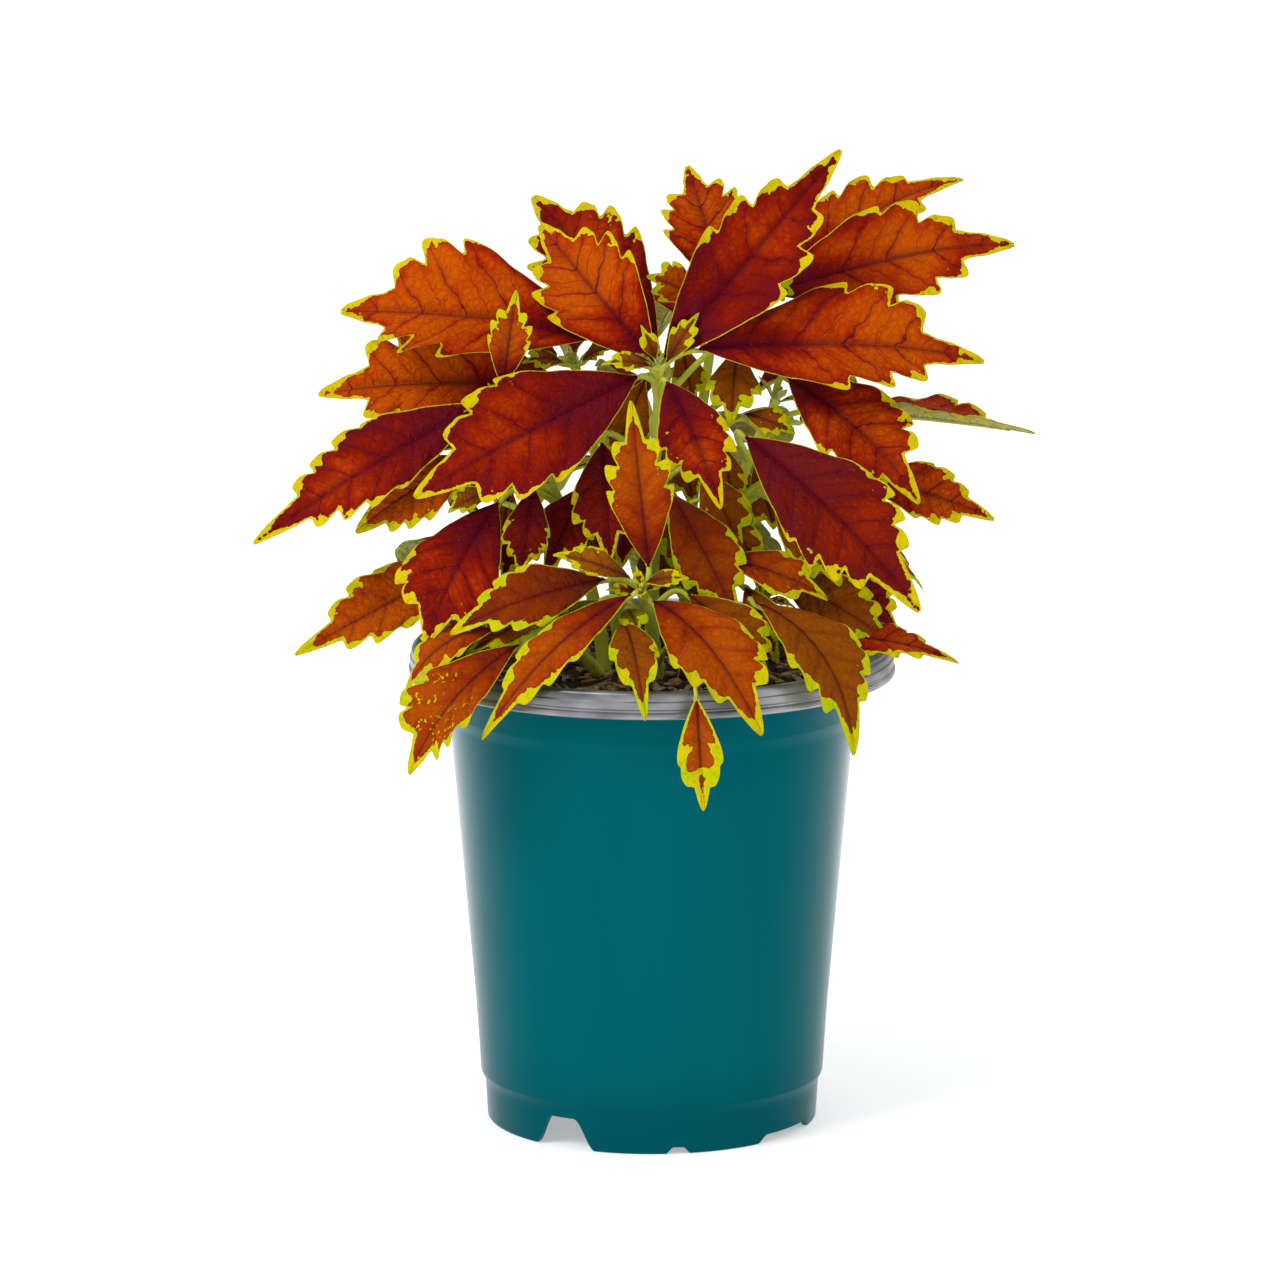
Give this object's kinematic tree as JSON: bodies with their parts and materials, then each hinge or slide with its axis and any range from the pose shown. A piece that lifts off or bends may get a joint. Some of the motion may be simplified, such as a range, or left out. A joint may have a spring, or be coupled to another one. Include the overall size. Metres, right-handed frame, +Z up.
{
  "type": "potted coleus",
  "caption": "Bushy coleus with toothed orange to dark red leaves edged in yellow, growing in potting soil in a tapered round plastic nursery pot.",
  "frame": {"origin": "on the pot's axis, in the plane that the pot stands on", "axes": "+Z up along the pot's axis, -Y towards the front of the plant, +X to its right as seen from the front"},
  "size_m": [0.2203, 0.157, 0.278],
  "materials": {
    "pot": "satin",
    "soil": "matte",
    "leaves": "matte"
  },
  "bodies": {
    "root": {"pot": "pot", "soil": "soil", "shoot_main": "leaves", "shoot_back_right": "leaves", "shoot_back_left": "leaves", "shoot_left": "leaves", "shoot_right": "leaves", "shoot_front": "leaves", "shoot_low_left": "leaves", "shoot_low_right": "leaves", "shoot_back": "leaves", "shoot_low_back_left": "leaves", "shoot_low_back_right": "leaves"}
  },
  "joints": []
}
